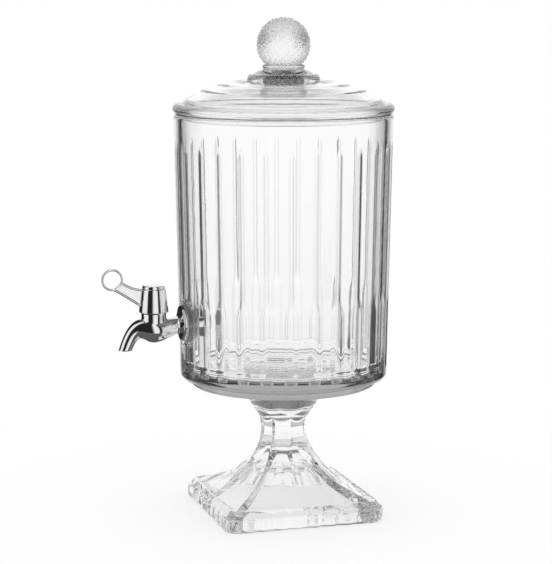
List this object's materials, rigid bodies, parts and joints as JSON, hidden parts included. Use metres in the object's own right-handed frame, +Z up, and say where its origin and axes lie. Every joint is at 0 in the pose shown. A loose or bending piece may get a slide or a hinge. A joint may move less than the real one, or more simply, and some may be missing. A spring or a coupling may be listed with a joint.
{
  "type": "juice dispenser",
  "caption": "Footed clear glass drinks dispenser: fluted tank on a square pedestal, loose domed lid with a ball knob, and a chrome lever tap that turns to pour.",
  "frame": {"origin": "centre of the foot's underside, on the tank's upright axis", "axes": "+Z up along the tank's axis, the tap points along -Y, +X completes the right-handed frame"},
  "size_m": [0.1784, 0.2396, 0.4025],
  "materials": {
    "glass": "clear pressed glass, fire polished",
    "bond": "clear cured adhesive film",
    "chrome": "bright chrome plate",
    "steel": "plain stainless steel",
    "brass": "machined brass",
    "silicone": "translucent grey silicone",
    "seal": "black seal rubber",
    "white_plastic": "white low-friction plastic"
  },
  "bodies": {
    "vessel": {"tank": "glass", "pedestal": "glass", "pedestal_bond": "bond", "outer_gasket": "silicone", "inner_gasket": "silicone", "shank_washer": "steel", "lock_nut": "steel", "tap_body": "chrome", "thrust_washer": "white_plastic", "disc_spring": "steel", "gland_nut": "brass"},
    "lid_set": {"lid": "glass", "lid_knob": "glass", "knob_bond": "bond"},
    "lever_set": {"tap_handle": "chrome", "valve_plug": "brass", "plug_o_ring": "seal", "handle_screw": "steel", "screw_washer": "steel", "handle_button": "chrome"}
  },
  "joints": [
    {"name": "lid_lift", "type": "slide", "parent": "vessel", "child": "lid_set", "axis": [0, 0, 1], "range_m": [0, 0.15]},
    {"name": "tap_turn", "type": "hinge", "parent": "vessel", "child": "lever_set", "pos_m": [0, -0.1081, 0.17], "axis": [0, 0, 1], "range_deg": [-90, 90]}
  ]
}
